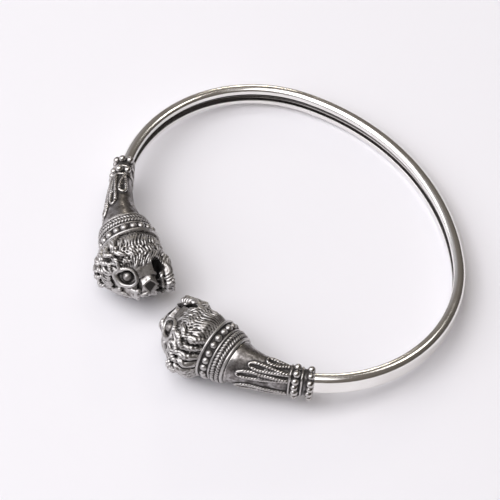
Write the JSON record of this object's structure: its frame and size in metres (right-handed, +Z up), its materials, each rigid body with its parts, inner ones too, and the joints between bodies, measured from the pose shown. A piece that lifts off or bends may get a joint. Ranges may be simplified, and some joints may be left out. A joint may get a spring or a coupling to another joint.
{
  "type": "open bangle",
  "caption": "Open oval bangle: a slim band whose ends run through flared filigree necks and beaded collars into facing lion heads.",
  "frame": {"origin": "middle of the footprint on the surface that the bangle rests on", "axes": "+Z up, the gap between the heads faces -Y, +X is the right-hand head's side seen from the front"},
  "size_m": [0.0622, 0.0551, 0.0112],
  "materials": {
    "polished_silver": "polished silver with fine wear scratches",
    "antiqued_silver": "cast and soldered silver, dark oxide in the recesses and bright worn high spots"
  },
  "bodies": {
    "root": {"band": "polished_silver", "socket_right": "antiqued_silver", "socket_left": "antiqued_silver", "collar_right": "antiqued_silver", "collar_left": "antiqued_silver", "lion_head_right": "antiqued_silver", "lion_head_left": "antiqued_silver"}
  },
  "joints": []
}
